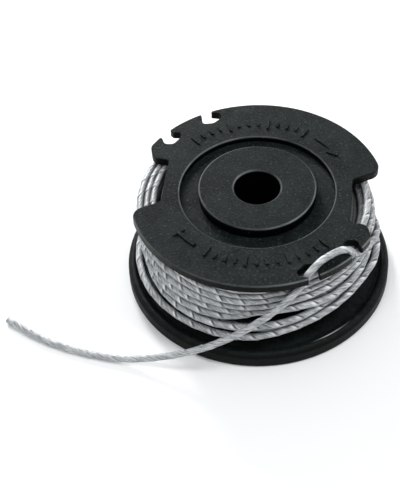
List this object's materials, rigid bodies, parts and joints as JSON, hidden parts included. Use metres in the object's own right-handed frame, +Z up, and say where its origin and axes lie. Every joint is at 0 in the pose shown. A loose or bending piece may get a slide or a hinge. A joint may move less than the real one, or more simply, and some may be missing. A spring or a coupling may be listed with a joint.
{
  "type": "string trimmer line spool",
  "caption": "Flanged plastic spool wound with twisted nylon cutting line; the outer end is parked through hook notches in the upper flange and trails free. Sits on a trimmer head's spindle.",
  "frame": {"origin": "on the spool's axis, in the plane of the lower rim that the spool stands on", "axes": "+Z up along the spindle bore, from the lower flange to the hub disc; +X to the right in the picture, with the line's free end trailing towards -X and the parked hooks at +X -Y; +Y away from the camera"},
  "size_m": [0.0897, 0.0632, 0.0278],
  "materials": {
    "upper_plastic": "black moulded nylon with a fine spark-eroded grain, matte, edges polished by the tool",
    "core_plastic": "black moulded plastic, smooth and half glossy",
    "cutting_line": "light cool grey nylon monofilament, twisted, with a soft sheen"
  },
  "bodies": {
    "root": {"upper_flange": "upper_plastic", "spool_core": "core_plastic", "line_winding": "cutting_line", "line_parked_loop": "cutting_line", "line_free_end": "cutting_line"}
  },
  "joints": []
}
